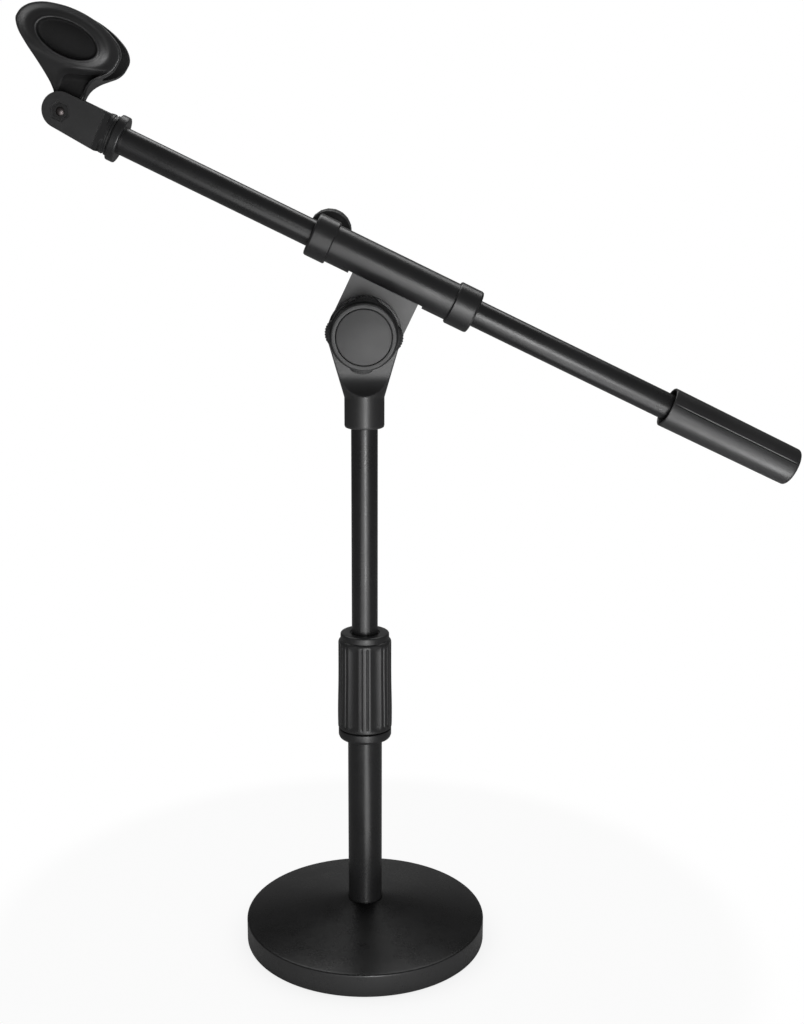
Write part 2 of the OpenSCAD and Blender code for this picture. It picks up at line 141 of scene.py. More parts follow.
def finish_mat(g, base, dark, rough, rough_var, grain, grain_h, wear_and_sheen=0.0, wear_and_sheen_col=(0.12, 0.12, 0.125),
               spec=0.5, metallic=0.0, coat=0.0, coat_rough=0.3, big=18.0, bevel=0.0004, peel=0.0):
    """Colour mottling, roughness variation, fine grain, soft edges, and a lighter edge colour that is partly edge wear
    and partly a painted highlight.
    """
    mott = g.noise(big, 4.0)
    fine = g.noise(grain, 2.0, 0.6)
    smudge = g.noise(55.0, 5.0, 0.65)
    col = g.mix(g.remap(mott, 0.3, 0.7, 0, 1, True), dark, base)
    # lighter colour on the edges: edge wear, and where it is strong (the clip) a painted highlight along the rims
    if wear_and_sheen > 0:
        bev = g.node("ShaderNodeBevel", samples=4)
        bev.inputs["Radius"].default_value = bevel * 1.6
        geo = g.node("ShaderNodeNewGeometry")
        dot = g.node("ShaderNodeVectorMath", operation="DOT_PRODUCT")
        g.link(bev.outputs[0], dot.inputs[0])
        g.link(geo.outputs["Normal"], dot.inputs[1])
        edge = g.remap(dot.outputs["Value"], 0.995, 0.86, 0.0, 1.0, True)
        worn_and_sheen = g.math("MULTIPLY", edge, g.remap(smudge, 0.42, 0.72, 0.15, wear_and_sheen))
        col = g.mix(worn_and_sheen, col, wear_and_sheen_col)
    g.link(col, g.b.inputs["Base Color"])
    r = g.math("ADD", g.remap(smudge, 0.3, 0.7, rough - rough_var, rough + rough_var),
               g.remap(fine, 0.3, 0.7, -0.02, 0.02))
    g.link(r, g.b.inputs["Roughness"])
    g.b.inputs["Metallic"].default_value = metallic
    g.b.inputs["Specular IOR Level"].default_value = spec
    if coat:
        g.b.inputs["Coat Weight"].default_value = coat
        g.b.inputs["Coat Roughness"].default_value = coat_rough
    nb = g.node("ShaderNodeBevel", samples=4)
    nb.inputs["Radius"].default_value = bevel
    n = g.bump(fine, 0.35, grain_h, nb.outputs[0])
    if peel:
        n = g.bump(g.noise(900.0, 1.0), 0.3, peel, n)
    g.link(n, g.b.inputs["Normal"])
    return g.m


def make_materials():
    M = {}
    g = Graph("base_powder_coat")
    M["cast"] = finish_mat(g, (0.0045, 0.0045, 0.0047), (0.0035, 0.0035, 0.0037), 0.29, 0.04,
                           2600, 0.00006, wear_and_sheen=0.35, wear_and_sheen_col=(0.09, 0.09, 0.092), bevel=0.0006, peel=0.00008)
    # the vertical rim is painted lighter than the top, a painted highlight standing in for the light on the side; it
    # also gets more specular
    geo = g.node("ShaderNodeNewGeometry")
    sep = g.node("ShaderNodeSeparateXYZ")
    g.link(geo.outputs["Normal"], sep.inputs[0])
    painted_side_light = g.remap(sep.outputs[2], 0.85, 0.30, 0.0, 1.0, True)
    top_col = g.b.inputs["Base Color"].links[0].from_socket
    g.link(g.mix(painted_side_light, top_col, (0.044, 0.044, 0.0445)), g.b.inputs["Base Color"])
    g.link(g.math("ADD", 0.30, g.math("MULTIPLY", painted_side_light, 0.25)), g.b.inputs["Specular IOR Level"])
    M["tube"] = finish_mat(Graph("tube_powder_coat"), (0.016, 0.016, 0.0165), (0.012, 0.012, 0.0125), 0.29, 0.04,
                           3000, 0.00004, wear_and_sheen=0.25, bevel=0.0003, peel=0.00005)
    M["casting"] = finish_mat(Graph("die_cast_paint"), (0.022, 0.022, 0.0225), (0.017, 0.017, 0.0175), 0.42, 0.05,
                              2200, 0.00006, wear_and_sheen=0.4, bevel=0.0006, peel=0.00008)
    M["plastic"] = finish_mat(Graph("moulded_plastic"), (0.018, 0.018, 0.0185), (0.014, 0.014, 0.0145), 0.35, 0.05,
                              2400, 0.00005, wear_and_sheen=0.3, bevel=0.0004)
    M["grip"] = finish_mat(Graph("clutch_plastic"), (0.021, 0.021, 0.0215), (0.015, 0.015, 0.0155), 0.36, 0.04,
                           2400, 0.00004, wear_and_sheen=0.30, bevel=0.0003)
    M["knob"] = finish_mat(Graph("knob_plastic"), (0.022, 0.022, 0.0225), (0.018, 0.018, 0.0185), 0.45, 0.05,
                           2000, 0.00005, wear_and_sheen=0.3, bevel=0.0004)
    M["cap"] = finish_mat(Graph("knob_cap_plastic"), (0.028, 0.028, 0.0285), (0.023, 0.023, 0.0235), 0.47, 0.04,
                          2000, 0.00005, wear_and_sheen=0.2, bevel=0.0003)
    M["weight"] = finish_mat(Graph("counterweight_plastic"), (0.024, 0.024, 0.0245), (0.019, 0.019, 0.0195), 0.40, 0.05,
                             2200, 0.00005, wear_and_sheen=0.3, bevel=0.0005)
    # the clip's strong bright edge colour is a painted highlight along the rims of its jaws and lip
    M["clip"] = finish_mat(Graph("clip_elastomer"), (0.024, 0.024, 0.0245), (0.019, 0.019, 0.0195), 0.37, 0.05,
                           1800, 0.00006, wear_and_sheen=1.0, wear_and_sheen_col=(0.24, 0.24, 0.245), bevel=0.0006)
    # a darker, matt copy of the clip elastomer: painted shade for the clip's pockets, bore and neck hollow, also used
    # to dull the counterweight's cut end
    M["clip_inside"] = finish_mat(Graph("clip_elastomer_painted_shade"), (0.010, 0.010, 0.0103), (0.007, 0.007, 0.0072), 0.78, 0.05,
                                  900, 0.00008, spec=0.25, bevel=0.0004)
    M["socket"] = finish_mat(Graph("clevis_plastic"), (0.022, 0.022, 0.0225), (0.018, 0.018, 0.0185), 0.40, 0.05,
                             2400, 0.00004, bevel=0.00012)
    M["yoke"] = finish_mat(Graph("yoke_paint"), (0.026, 0.026, 0.0265), (0.021, 0.021, 0.0215), 0.36, 0.04,
                           2200, 0.00005, wear_and_sheen=0.55, wear_and_sheen_col=(0.10, 0.10, 0.105), bevel=0.0012, peel=0.00006)
    # the bracket plate is coloured far lighter than the other black castings: painted light standing in for the light
    # on the plate
    M["bracket"] = finish_mat(Graph("bracket_paint_painted_light"), (0.088, 0.088, 0.089), (0.078, 0.078, 0.079), 0.45, 0.04,
                              2200, 0.00005, wear_and_sheen=0.4, wear_and_sheen_col=(0.10, 0.10, 0.105), bevel=0.0006, peel=0.00006)
    M["screw"] = finish_mat(Graph("screw_steel"), (0.16, 0.14, 0.14), (0.10, 0.09, 0.09), 0.42, 0.08, 3000,
                            0.00004, metallic=1.0, big=400)
    M["pad"] = finish_mat(Graph("foot_rubber"), (0.02, 0.02, 0.02), (0.014, 0.014, 0.014), 0.75, 0.06, 900, 0.0002)
    M["steel"] = finish_mat(Graph("zinc_plated_steel"), (0.60, 0.61, 0.63), (0.48, 0.49, 0.51), 0.30, 0.08, 3000,
                            0.00003, metallic=1.0, big=120)
    M["blackened"] = finish_mat(Graph("black_oxide_steel"), (0.012, 0.012, 0.0124), (0.008, 0.008, 0.0083), 0.50, 0.06, 2600,
                                0.00004, wear_and_sheen=0.5, wear_and_sheen_col=(0.08, 0.08, 0.08), spec=0.35, bevel=0.0003)
    M["brass"] = finish_mat(Graph("turned_brass"), (0.72, 0.54, 0.26), (0.62, 0.46, 0.22), 0.30, 0.07, 3000,
                            0.00003, metallic=1.0, big=120)
    M["nylon"] = finish_mat(Graph("natural_nylon"), (0.78, 0.77, 0.72), (0.70, 0.69, 0.64), 0.45, 0.06, 1800, 0.00005)
    M["fibre"] = finish_mat(Graph("vulcanised_fibre"), (0.20, 0.12, 0.08), (0.14, 0.085, 0.055), 0.65, 0.06, 1500, 0.0001)
    return M


MATS = make_materials()
SLOT = {s["node"]: s["material_slot"] for s in frame["record"]["subparts"]}


def put(obj, mat):
    if obj.type == "MESH" and obj.data.materials:
        for i in range(len(obj.data.materials)):
            obj.data.materials[i] = mat
    else:
        obj.data.materials.append(mat)


for name, o in NODES.items():
    put(o, MATS[{"yoke_casting": "yoke", "boom_bracket": "bracket", "clip_screw": "screw", "clip_socket": "socket"}.get(name, SLOT[name])])

# ------------------------------------------------------------ mesh helpers
J = {j["name"]: j for j in frame["joints"]}
MM = 0.001
PIVOT = Vector(J["boom_tilt"]["pos_m"])
BOOM_X = Vector(J["boom_slide"]["axis"]).normalized()
BOOM_C = Vector(J["boom_spin"]["pos_m"])
CLIP_P = Vector(J["clip_tilt"]["pos_m"])
Y = Vector((0, 1, 0))


def basis(x, origin):
    """Frame with the given X, world Y, and Z to suit."""
    x = x.normalized()
    z = x.cross(Y).normalized()
    m = Matrix((x, Y, z)).transposed().to_4x4()
    m.translation = origin
    return m


BOOM = basis(BOOM_X, BOOM_C)
HEAD = basis(BOOM_X, PIVOT)
CLIP = basis(BOOM_X, CLIP_P)
ALONG = Matrix.Rotation(math.radians(90), 4, "Y")          # local Z to +X
TO_FRONT = Matrix.Rotation(math.radians(90), 4, "X")       # local Z to -Y


def new_obj(name, verts, faces, matrix=None, scale=MM, sharp=38):
    me = bpy.data.meshes.new(name)
    me.from_pydata([tuple(Vector(v) * scale) for v in verts], [], faces)
    me.validate()
    if matrix is not None:
        me.transform(matrix)
    bm = bmesh.new()
    bm.from_mesh(me)
    bmesh.ops.remove_doubles(bm, verts=bm.verts, dist=1e-7)
    bmesh.ops.recalc_face_normals(bm, faces=bm.faces)
    bm.to_mesh(me)
    bm.free()
    me.shade_smooth()
    me.set_sharp_from_angle(angle=math.radians(sharp))
    o = bpy.data.objects.new(name, me)
    scene.collection.objects.link(o)
    return o


def ring_mesh(rings, closed_profile):
    """Vertices and faces from a list of rings, each a list of points; a ring of one point is a pole."""
    verts, idx = [], []
    for r in rings:
        idx.append(list(range(len(verts), len(verts) + len(r))))
        verts.extend(r)
    faces = []
    pairs = list(zip(idx, idx[1:]))
    if closed_profile:
        pairs.append((idx[-1], idx[0]))
    for a, b in pairs:
        n = max(len(a), len(b))
        for i in range(n):
            j = (i + 1) % n
            if len(a) == 1 and len(b) == 1:
                continue
            if len(a) == 1:
                faces.append((a[0], b[i], b[j]))
            elif len(b) == 1:
                faces.append((a[i], b[0], a[j]))
            else:
                faces.append((a[i], b[i], b[j], a[j]))
    return verts, faces


def rounded(points, r, steps=5):
    """Rounds the marked corners of a profile. Points are (radius, height) or (radius, height, fillet)."""
    out = []
    n = len(points)
    for i, p in enumerate(points):
        f = p[2] if len(p) > 2 else r
        a, b, c = Vector(points[i - 1][:2]), Vector(p[:2]), Vector(points[(i + 1) % n][:2])
        if f <= 0 or (b - a).length < 1e-6 or (c - b).length < 1e-6:
            out.append((b.x, b.y))
            continue
        d1, d2 = (a - b).normalized(), (c - b).normalized()
        ang = d1.angle(d2)
        if ang > math.radians(172):
            out.append((b.x, b.y))
            continue
        t = min(f / math.tan(ang / 2), (a - b).length * 0.49, (c - b).length * 0.49)
        rr = t * math.tan(ang / 2)
        mid = (d1 + d2).normalized()
        ctr = b + mid * (rr / math.sin(ang / 2))
        p1, p2 = b + d1 * t, b + d2 * t
        a1 = math.atan2(p1.y - ctr.y, p1.x - ctr.x)
        a2 = math.atan2(p2.y - ctr.y, p2.x - ctr.x)
        da = (a2 - a1 + math.pi) % (2 * math.pi) - math.pi
        for k in range(steps + 1):
            t_ = a1 + da * k / steps
            out.append((ctr.x + rr * math.cos(t_), ctr.y + rr * math.sin(t_)))
    return out


def lathe(name, points, matrix=None, seg=160, fillet=0.0, rfun=None, closed=True, sharp=38, steps=5):
    prof = rounded(points, fillet, steps)
    rings = []
    for r, z in prof:
        if r < 1e-6:
            rings.append([(0, 0, z)])
        else:
            ring = []
            for i in range(seg):
                a = 2 * math.pi * i / seg
                rr = rfun(r, z, a) if rfun else r
                ring.append((rr * math.cos(a), rr * math.sin(a), z))
            rings.append(ring)
    v, f = ring_mesh(rings, closed and prof[0][0] > 1e-6)
    return new_obj(name, v, f, matrix, sharp=sharp)


def add(obj, body, node, mat):
    obj.data.materials.clear()
    obj.data.materials.append(MATS[mat])
    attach(obj, body)
    names = node if isinstance(node, (list, tuple)) else [node]
    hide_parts(*names)
    return obj


def smooth01(x):
    x = max(0.0, min(1.0, x))
    return x * x * (3 - 2 * x)


def modified(o, kind, **kw):
    m = o.modifiers.new(kind.lower(), kind)
    for k, v in kw.items():
        setattr(m, k, v)
    return m


def bake(o):
    """Applies the modifiers of an object."""
    dg = bpy.context.evaluated_depsgraph_get()
    me = bpy.data.meshes.new_from_object(o.evaluated_get(dg))
    o.modifiers.clear()
    old = o.data
    o.data = me
    bpy.data.meshes.remove(old)
    return o


def drop(o):
    bpy.data.objects.remove(o, do_unlink=True)


# -------------------------------------------------------------------- base
def make_base():
    R = 75.0
    pts = [(5.3, 21), (5.3, 11), (14, 11, 0.6), (14, 0.8, 0.3), (15.5, 0.8, 0.3), (15.5, 2), (72, 2), (72, 0.8, 0.3),
           (R, 0.8, 0.9), (R, 15.0, 1.7), (R - 1.9, 15.45, 0.6), (60, 17.75), (45, 20.5), (30, 23.3), (18, 25.5), (11.6, 26.75, 0.5),
           (10.5, 26.75, 0.4), (10.5, 21)]
    o = lathe("base_disc", pts, seg=256, steps=7)
    return add(o, "base", "base_casting", "cast")


# ------------------------------------------------------------- clutch grip
def make_grip():
    z0, z1, R = 141.3, 198.1, 16.2
    seg = 7 * 64

    def outer(z):
        t = (z - z0) / (z1 - z0)
        r = R + 0.45 * math.exp(-((t - 0.16) / 0.30) ** 2) - 0.02 * t
        return r

    def cut(a, z):
        # angle measured from the side that faces the viewer
        deg = math.degrees(a) + 90.0
        p = (deg % (360 / 7)) - 0.0
        p = min(p, 360 / 7 - p)                     # 0 at a rib group, 25.7 in the middle of a flute
        d = 0.0
        q = (25.714 - p) / 12.2
        if q < 1:
            lo, hi = z0 + 1.6, z1 - 0.9
            end = 3.6
            s = min(smooth01((z - lo) / end), smooth01((hi - z) / end))
            d = max(d, 1.0 * (1 - q * q) * math.sqrt(max(0.0, s)))
        w = abs(p - 6.2) / 2.9
        if w < 1:
            lo, hi = z0 + 2.0, z1 - 1.6
            s = min(smooth01((z - lo) / 2.0), smooth01((hi - z) / 2.0))
            d = max(d, 0.62 * (0.5 + 0.5 * math.cos(math.pi * w)) * s)
        return d

    rings = []

    def ring(r, z, cutting=False):
        out = []
        for i in range(seg):
            a = 2 * math.pi * i / seg
            rr = r - (cut(a, z) if cutting else 0.0)
            out.append((rr * math.cos(a), rr * math.sin(a), z))
        rings.append(out)

    # bottom edge, fluted wall, rounded shoulder, bore
    for k in range(7):
        t = math.pi / 2 * k / 6
        ring(outer(z0) - 1.1 + 1.1 * math.sin(t), z0 + 1.1 - 1.1 * math.cos(t))
    n = 110
    za, zb = z0 + 1.1, z1 - 2.2
    for k in range(1, n + 1):
        z = za + (zb - za) * k / n
        ring(outer(z), z, True)
    rb = outer(zb)
    for k in range(1, 9):
        t = math.pi / 2 * k / 8
        ring(rb - 2.0 + 2.0 * math.cos(t), zb + 2.2 * math.sin(t), True)
    for r, z in ((8.5, z1), (8.5, 193), (9.8, 192), (11.8, 167.4), (11.8, 165.6), (12.48, 165), (12.48, z0)):
        ring(r, z)
    v, f = ring_mesh(rings, True)
    o = new_obj("clutch_sleeve", v, f, sharp=50)
    return add(o, "grip", "clutch_grip", "grip")


def make_clutch_rings():
    z0, z1 = 134.4, 140.8
    o = lathe("clutch_foot_ring", [(10.5, z0), (14.0, z0, 0.4), (15.6, z0 + 0.7, 1.2), (16.25, z0 + 2.3, 1.5), (16.25, z1 - 0.1, 0.5),
                                   (10.5, z1)], seg=192)
    add(o, "base", "clutch_bottom_ring", "plastic")
    a, b = 198.1, 202.2
    o = lathe("clutch_crown", [(8.25, a), (14.85, a), (14.85, b - 0.1, 1.2), (12.6, b + 0.0, 0.5), (9.3, b - 0.1, 0.5), (8.9, b - 1.1, 0.3),
                               (8.25, b - 1.1, 0.1)], seg=192)
    add(o, "grip", "clutch_top_ring", "grip")


# -------------------------------------------------------------------- knob
def make_knob():
    def lobe(a):
        deg = math.degrees(a)
        l = 45 - abs(((deg - 5) % 90) - 45)
        v = 0.0
        if l < 19:
            v = 2.2 * math.cos(math.radians(l * 90 / 19)) ** 0.6
            if l < 14:
                v += 0.24 * math.cos(math.radians(l * 360 / 4))
        return v

    m = Matrix.Translation(PIVOT) @ TO_FRONT
    R = 18.75
    prof = [(7.2, 18.3), (7.2, 8.3), (17.4, 8.3, 0.3), (18.9, 9.4, 0.4), (20.2, 9.6, 0.8), (20.2, 12), (20.2, 14.5), (20.2, 17.9, 0.9),
            (19.3, 18.4, 0.4), (18.75, 20.3, 0.4), (R, 21.6, 0.4), (R, 24.6), (R, 28.0, 0.75), (16.2, 28.0, 0.2), (16.05, 26.2), (4.07, 26.2), (4.07, 18.3)]

    def rf(r, z, a):
        if r > 19.5 and 9.5 <= z <= 18.2:
            w = smooth01((z - 9.55) / 0.9) * smooth01((18.05 - z) / 0.9)
            return r + lobe(-a) * (0.35 + 0.65 * w)
        return r

    o = lathe("tilt_knob_body", prof, m, seg=720, rfun=rf, sharp=45, steps=6)
    add(o, "knob", "tilt_knob", "knob")
    o = lathe("tilt_knob_face", [(0, 26.2), (15.85, 26.2), (15.85, 27.85, 0.35), (15.2, 27.98), (0, 27.98)], m, seg=192, closed=False, steps=6)
    add(o, "knob", "knob_cap", "cap")


# ----------------------------------------------------------- counterweight
def make_weight():
    m = BOOM @ ALONG
    s0, L = 178.7, 84.2
    e = s0 + L
    core = 200.0

    def rf(r, z, a):
        # seam of the two halves of the moulding, a fine groove along the grip
        if r > 11.0 and s0 + 1.5 < z < e - 4:
            # local X of the lathe is -Z of the boom frame, local Y is world Y
            d = math.degrees(math.atan2(math.sin(a - SEAM), math.cos(a - SEAM)))
            if abs(d) < 2.6:
                return r - 0.42 * math.cos(math.radians(d * 90 / 2.6))
        return r

    SEAM = math.atan2(-math.cos(math.radians(19)), -math.sin(math.radians(19)))
    prof = [(7.9, s0 + 5), (10.7, s0 + 5, 0.3), (10.75, s0 + 0.2, 0.35), (12.02, s0, 0.8), (12.0, s0 + 1.4), (11.95, s0 + 8), (11.8, s0 + 30),
            (11.6, s0 + 55), (11.48, e - 8), (11.42, e - 4), (11.38, e, 3.2), (6, e + 0.0, 0.0), (0, e)]
    inner = [(0, core + 58), (10.3, core + 58), (10.3, core), (7.9, core)]
    pts = prof + inner
    rings = []
    pr = rounded(prof[:-1], 0.0, 8)
    o_pts = pr + [(0, e)]
    seg = 720
    for r, z in o_pts:
        rings.append([(0, 0, z)] if r < 1e-6 else [(rf(r, z, 2 * math.pi * i / seg) * math.cos(2 * math.pi * i / seg),
                                                    rf(r, z, 2 * math.pi * i / seg) * math.sin(2 * math.pi * i / seg), z) for i in range(seg)])
    v1, f1 = ring_mesh(rings, False)
    rings = []
    for r, z in inner + [(7.9, s0 + 5)]:
        rings.append([(0, 0, z)] if r < 1e-6 else [(r * math.cos(2 * math.pi * i / seg), r * math.sin(2 * math.pi * i / seg), z) for i in range(seg)])
    v2, f2 = ring_mesh(rings, False)
    n = len(v1)
    o = new_obj("counterweight_sleeve", v1 + v2, f1 + [tuple(i + n for i in q) for q in f2], m, sharp=40)
    add(o, "boom", "counterweight_grip", "weight")
    # the cut end gets the darker matt material, painted shade that dulls its highlight
    o.data.materials.append(MATS["clip_inside"])
    for p in o.data.polygons:
        if p.normal.dot(BOOM_X) > 0.98 and (BOOM.inverted() @ p.center).x > (e - 1.5) * MM:
            p.material_index = 1
    return o


# ---------------------------------------------------------- microphone clip
def tube_piece(name, r0, r1, x0, x1, a0, a1, centre_z, seg=72):
    """A closed arc of tube wall along X, from angle a0 to a1 (0 is +Y, 90 is +Z)."""
    verts, faces = [], []
    for x in (x0, x1):
        for r in (r0, r1):
            for i in range(seg + 1):
                a = math.radians(a0 + (a1 - a0) * i / seg)
                verts.append((x, r * math.cos(a), centre_z + r * math.sin(a)))
    n = seg + 1

    def q(x, r, i):
        return (x * 2 + r) * n + i

    for i in range(seg):
        faces.append((q(0, 0, i), q(0, 1, i), q(0, 1, i + 1), q(0, 0, i + 1)))
        faces.append((q(1, 0, i), q(1, 0, i + 1), q(1, 1, i + 1), q(1, 1, i)))
        faces.append((q(0, 1, i), q(1, 1, i), q(1, 1, i + 1), q(0, 1, i + 1)))
        faces.append((q(0, 0, i), q(0, 0, i + 1), q(1, 0, i + 1), q(1, 0, i)))
    for i in (0, seg):
        faces.append((q(0, 0, i), q(1, 0, i), q(1, 1, i), q(0, 1, i)))
    return new_obj(name, verts, faces)


# side view of the clip jaw and neck, in the frame of its pivot: X along the boom, Z up from it
JAW = [(-39.5, 34), (-40, 37), (-39, 41), (-36.5, 44.5), (-33, 47.3), (-28, 49.8), (-22, 51.5), (-16, 52.6), (-9, 53),
       (-2, 52.5), (5, 51), (10, 49.2), (15, 46.7), (18.3, 43.6), (20, 40.3), (20, 37), (19.3, 33), (17.2, 29.2), (13.6, 25.6),
       (10.6, 22.2), (8.6, 18), (8, 13), (7.8, 8), (6, 4), (0, 2.5), (-6, 4.2), (-9, 8.2), (-12.2, 11.4), (-15.5, 14.2), (-20, 17.9),
       (-24, 21), (-30, 25.2), (-36, 29.6)]


def closed_curve(pts, per=8):
    out = []
    n = len(pts)
    for i in range(n):
        p0, p1, p2, p3 = (Vector(pts[(i + k) % n]) for k in (-1, 0, 1, 2))
        for k in range(per):
            t = k / per
            out.append(0.5 * ((2 * p1) + (p2 - p0) * t + (2 * p0 - 5 * p1 + 4 * p2 - p3) * t * t
                              + (3 * p1 - p0 - 3 * p2 + p3) * t ** 3))
    return out


def right_edge(n):
    table = [(0, 8.2), (12, 8), (18, 8.6), (22.2, 10.6), (25.6, 13.6), (29.2, 17.2), (33, 19.3), (60, 20)]
    for (a, x), (b, y) in zip(table, table[1:]):
        if n <= b:
            return x + (y - x) * (n - a) / (b - a)
    return 20


def neck_hollow(x, n):
    """Depth weight of the hollow in the neck, open between its front flank and a thin rib at the back edge."""
    top = 19.8 + (x + 8.1) * 0.39
    return smooth01((x + 9.5) / 6.0) * smooth01((top + 2.5 - n) / 7.0) * smooth01((right_edge(n) - x - 1.1) / 1.6)


def jaw_half(x, n):
    """Half thickness of the clip at a point of its side view."""
    full, lug = 15.8, 4.25
    base = 10.5 + 1.3 * smooth01((x - 1.0) / 4.0)
    y = lug + (full - lug) * smooth01((n - base) / (26.0 - base))
    y -= neck_hollow(x, n) * max(0.0, y - lug - 0.15)
    # the egg is dished between its raised lip and its outer rim
    rho = math.hypot((x + 10.0) / 30.2, (n - 37.3) / 15.9)
    k = smooth01((n - 23) / 8)
    y -= k * (1.0 * math.exp(-((rho - 0.80) / 0.10) ** 2) - 0.15 * smooth01((rho - 0.9) / 0.08))
    # shallow dish, raised lip and finger pocket
    lip = math.hypot((x + 10.3) / 19.0, (n - 36.8) / 9.8)
    y += 0.75 * math.exp(-((lip - 0.965) / 0.045) ** 2)
    floor = math.sqrt(max(1.0, 14.1 ** 2 - (n - 38) ** 2))
    y += (floor - y) * smooth01((0.935 - lip) / 0.075)
    return y


def jaw_body(name):
    line = closed_curve(JAW)
    cx, cz = -10.3, 36.0
    ks = [0.0] + [i / 100 for i in range(2, 97, 1)] + [0.966, 0.974, 0.981, 0.987, 0.992, 0.996, 0.9985, 1.0]
    rings = []
    for side in (-1, 1):
        part = []
        for k in ks:
            drop_ = 0.0
            if k > 0.96:
                t = (k - 0.96) / 0.04
                drop_ = 0.7 * (1 - math.sqrt(max(0.0, 1 - t * t)))
            if k == 0:
                part.append([(cx, side * jaw_half(cx, cz), cz)])
                continue
            ring = []
            for p in line:
                x, n = cx + k * (p.x - cx), cz + k * (p.y - cz)
                ring.append((x, side * (jaw_half(x, n) - drop_), n))
            part.append(ring)
        rings.append(part)
    allr = rings[0] + rings[1][::-1]
    v, f = ring_mesh(allr, False)
    return new_obj(name, v, f)


def loft(name, levels, seg=64, power=2.6):
    """Stacks superellipse sections: (z, x0, x1, half_y)."""
    rings = [[((levels[0][1] + levels[0][2]) / 2, 0, levels[0][0])]]
    for z, x0, x1, hy in levels:
        ring = []
        for i in range(seg):
            a = 2 * math.pi * i / seg
            c, s = math.cos(a), math.sin(a)
            ring.append(((x0 + x1) / 2 + (x1 - x0) / 2 * math.copysign(abs(c) ** (2 / power), c),
                         hy * math.copysign(abs(s) ** (2 / power), s), z))
        rings.append(ring)
    rings.append([((levels[-1][1] + levels[-1][2]) / 2, 0, levels[-1][0])])
    v, f = ring_mesh(rings, False)
    return new_obj(name, v, f)


def disc_y(name, r, y0, y1, x=0.0, z=0.0, seg=96, fillet=0.0):
    m = Matrix.Translation((x * MM, 0, z * MM)) @ TO_FRONT
    return lathe(name, [(0, -y1), (r, -y1, fillet), (r, -y0, fillet), (0, -y0)], m, seg=seg, closed=False)


def block(name, lo, hi):
    verts = [(x, y, z) for x in (lo[0], hi[0]) for y in (lo[1], hi[1]) for z in (lo[2], hi[2])]
    faces = [(0, 1, 3, 2), (4, 6, 7, 5), (0, 4, 5, 1), (2, 3, 7, 6), (0, 2, 6, 4), (1, 5, 7, 3)]
    return new_obj(name, verts, faces)


def join(name, objs):
    bm = bmesh.new()
    for o in objs:
        bm.from_mesh(o.data)
    me = bpy.data.meshes.new(name)
    bm.to_mesh(me)
    bm.free()
    for o in objs:
        drop(o)
    o = bpy.data.objects.new(name, me)
    scene.collection.objects.link(o)
    return o


def cut(o, tools):
    for t in tools:
        modified(o, "BOOLEAN", operation="DIFFERENCE", object=t, solver="EXACT")
        bake(o)
        drop(t)
    return o


def keep_largest(o):
    """Drops loose crumbs that are not part of the main shell."""
    bm = bmesh.new()
    bm.from_mesh(o.data)
    seen, groups = set(), []
    for v in bm.verts:
        if v in seen:
            continue
        stack, g = [v], []
        seen.add(v)
        while stack:
            w = stack.pop()
            g.append(w)
            for e in w.link_edges:
                u = e.other_vert(w)
                if u not in seen:
                    seen.add(u)
                    stack.append(u)
        groups.append(g)
    groups.sort(key=len, reverse=True)
    for g in groups[1:]:
        if len(g) < 200:
            bmesh.ops.delete(bm, geom=g, context="VERTS")
    bm.to_mesh(o.data)
    bm.free()
    return o


def make_clip():
    o = jaw_body("mic_clip_body")
    seat = lathe("seat_tool", [(0, -70), (12.8, -70), (12.8, 60), (0, 60)], Matrix.Translation((0, 0, 0.038)) @ ALONG, seg=160, closed=False)
    slot = block("slot_tool", (-70, -10.6, 38.0), (60, 10.6, 70))
    cut(o, [seat, slot])
    o = join("mic_clip_body", [o, disc_y("lug", 9.4, -4.25, 4.25, fillet=0.6)])
    modified(o, "REMESH", mode="VOXEL", voxel_size=0.00036, use_smooth_shade=True)
    bake(o)
    modified(o, "SMOOTH", factor=0.5, iterations=9)
    bake(o)
    cut(o, [disc_y("bore_tool", 2.56, -20, 20)])
    keep_largest(o)
    o.data.transform(CLIP)
    o.data.shade_smooth()
    o.data.set_sharp_from_angle(angle=math.radians(50))
    add(o, "clip", "mic_clip", "clip")
    # the finger pockets, the inside of the jaws and the neck hollow get the darker matt material: painted shade in
    # these recesses
    o.data.materials.append(MATS["clip_inside"])
    inv = CLIP.inverted()
    for p in o.data.polygons:
        c = inv @ p.center * 1000.0
        pocket = math.hypot((c.x + 10.3) / 19.0, (c.z - 36.8) / 9.8) < 0.93 and abs(c.y) < 15.9
        bore = math.hypot(c.y, c.z - 38.0) < 13.0 or (abs(c.y) < 10.75 and c.z > 38)
        hollow = c.z > 9.3 and neck_hollow(c.x, c.z) > 0.5
        if pocket or bore or hollow:
            p.material_index = 1
    return o


def soften(node, name, voxel=0.0004, iterations=3, sharp=60):
    """A copy of a CAD node with its hard edges eased, as a casting or a moulding has."""
    o = bpy.data.objects.new(name, NODES[node].data.copy())
    scene.collection.objects.link(o)
    bm = bmesh.new()
    bm.from_mesh(o.data)
    bmesh.ops.remove_doubles(bm, verts=bm.verts, dist=1e-6)
    bm.to_mesh(o.data)
    bm.free()
    modified(o, "REMESH", mode="VOXEL", voxel_size=voxel, use_smooth_shade=True)
    bake(o)
    modified(o, "SMOOTH", factor=0.5, iterations=iterations)
    bake(o)
    o.data.shade_smooth()
    return o


make_base()
make_grip()
make_clutch_rings()
make_knob()
make_weight()
make_clip()


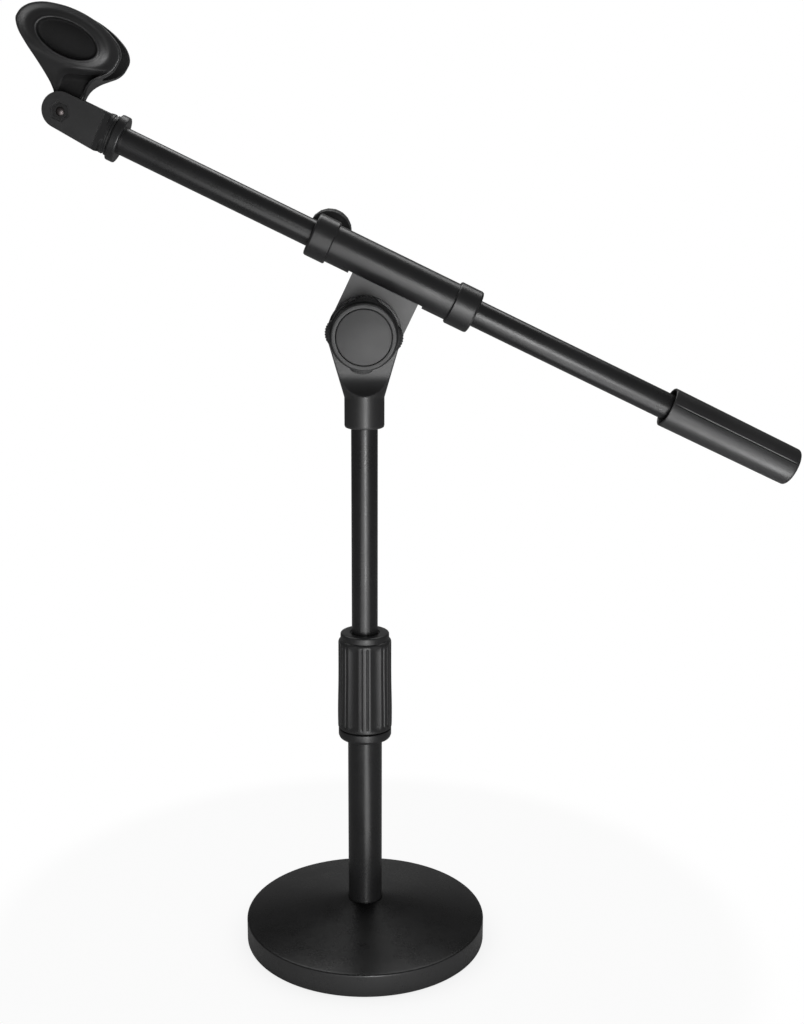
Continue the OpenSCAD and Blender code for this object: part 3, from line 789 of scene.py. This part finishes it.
# ------------------------------------------------------------------- stage
def stage_floor():
    bm = bmesh.new()
    bmesh.ops.create_circle(bm, cap_ends=True, segments=96, radius=6.0)
    me = bpy.data.meshes.new("floor")
    bm.to_mesh(me)
    bm.free()
    o = bpy.data.objects.new("floor", me)
    scene.collection.objects.link(o)
    o.location = (0, 0, -0.00005)
    g = Graph("floor_paper")
    g.link(g.mix(g.remap(g.noise(3.0), 0.3, 0.7, 0, 1), (0.36, 0.36, 0.36), (0.40, 0.40, 0.40)), g.b.inputs["Base Color"])
    g.b.inputs["Roughness"].default_value = 0.85
    g.b.inputs["Specular IOR Level"].default_value = 0.1
    # seen directly the paper is burnt out to white, with a faint round mat and a contact shadow
    length = g.node("ShaderNodeVectorMath", operation="LENGTH")
    g.link(g.tc.outputs["Object"], length.inputs[0])
    mat = g.remap(length.outputs["Value"], 0.225, 0.262, 0.962, 1.0, True)
    ao = g.node("ShaderNodeAmbientOcclusion", samples=16)
    ao.inputs["Distance"].default_value = 0.05
    ao_low = g.remap(ao.outputs["AO"], 0.35, 0.95, 0.90, 1.0)
    em = g.node("ShaderNodeEmission")
    em.inputs[0].default_value = (1, 1, 1, 1)
    g.link(g.math("MULTIPLY", mat, ao_low), em.inputs[1])
    lp = g.node("ShaderNodeLightPath")
    mx = g.node("ShaderNodeMixShader")
    g.link(lp.outputs["Is Camera Ray"], mx.inputs[0])
    g.link(g.b.outputs[0], mx.inputs[1])
    g.link(em.outputs[0], mx.inputs[2])
    g.link(mx.outputs[0], g.out.inputs[0])
    me.materials.append(g.m)


stage_floor()

world = bpy.data.worlds.new("studio")
scene.world = world
world.use_nodes = True
wt = world.node_tree
wt.nodes.clear()
wo = wt.nodes.new("ShaderNodeOutputWorld")
mixs = wt.nodes.new("ShaderNodeMixShader")
lp = wt.nodes.new("ShaderNodeLightPath")
dim = wt.nodes.new("ShaderNodeBackground")
dim.inputs[0].default_value = (1, 1, 1, 1)
dim.inputs[1].default_value = 0.11
bright = wt.nodes.new("ShaderNodeBackground")
bright.inputs[0].default_value = (1, 1, 1, 1)
bright.inputs[1].default_value = 1.0
wt.links.new(lp.outputs["Is Camera Ray"], mixs.inputs[0])
wt.links.new(dim.outputs[0], mixs.inputs[1])
wt.links.new(bright.outputs[0], mixs.inputs[2])
wt.links.new(mixs.outputs[0], wo.inputs[0])


def panel(name, centre, u, v, radiance, col=(1, 1, 1), spread=180):
    """A soft light panel with half-extents u and v, lit on the side of u x v."""
    u, v = Vector(u), Vector(v)
    d = bpy.data.lights.new(name, "AREA")
    d.shape = "RECTANGLE"
    d.size, d.size_y = u.length * 2, v.length * 2
    d.energy = radiance * math.pi * d.size * d.size_y
    d.color = col
    d.spread = math.radians(spread)
    o = bpy.data.objects.new(name, d)
    scene.collection.objects.link(o)
    z = -u.cross(v).normalized()
    m = Matrix((u.normalized(), z.cross(u).normalized(), z)).transposed().to_4x4()
    m.translation = centre
    o.matrix_world = m
    o.visible_camera = False
    return o


panel("front_ramp", (0.05, -0.85, 0.11), (0.42, 0, 0), (0, 0.40, -0.10), 2.4)
panel("front_strip", (0.12, -0.88, 0.26), (0.065, 0, 0), (0, 0.05, -0.30), 13.5)
panel("table_strip", (0.05, -0.33, 0.003), (0.05, 0.0, 0), (0.0, 0.20, 0), 3.6)
panel("table_glow", (0.28, -0.21, 0.02), (0.12, 0.0, 0), (0.0, 0.08, -0.065), 1.4, spread=62)
panel("overhead", (0.0, 0.62, 1.35), (0.80, 0, 0), (0, -0.25, 0), 3.6)
panel("back_wall", (0.0, 2.4, 0.55), (1.6, 0, 0), (0, 0, 0.45), 0.15)
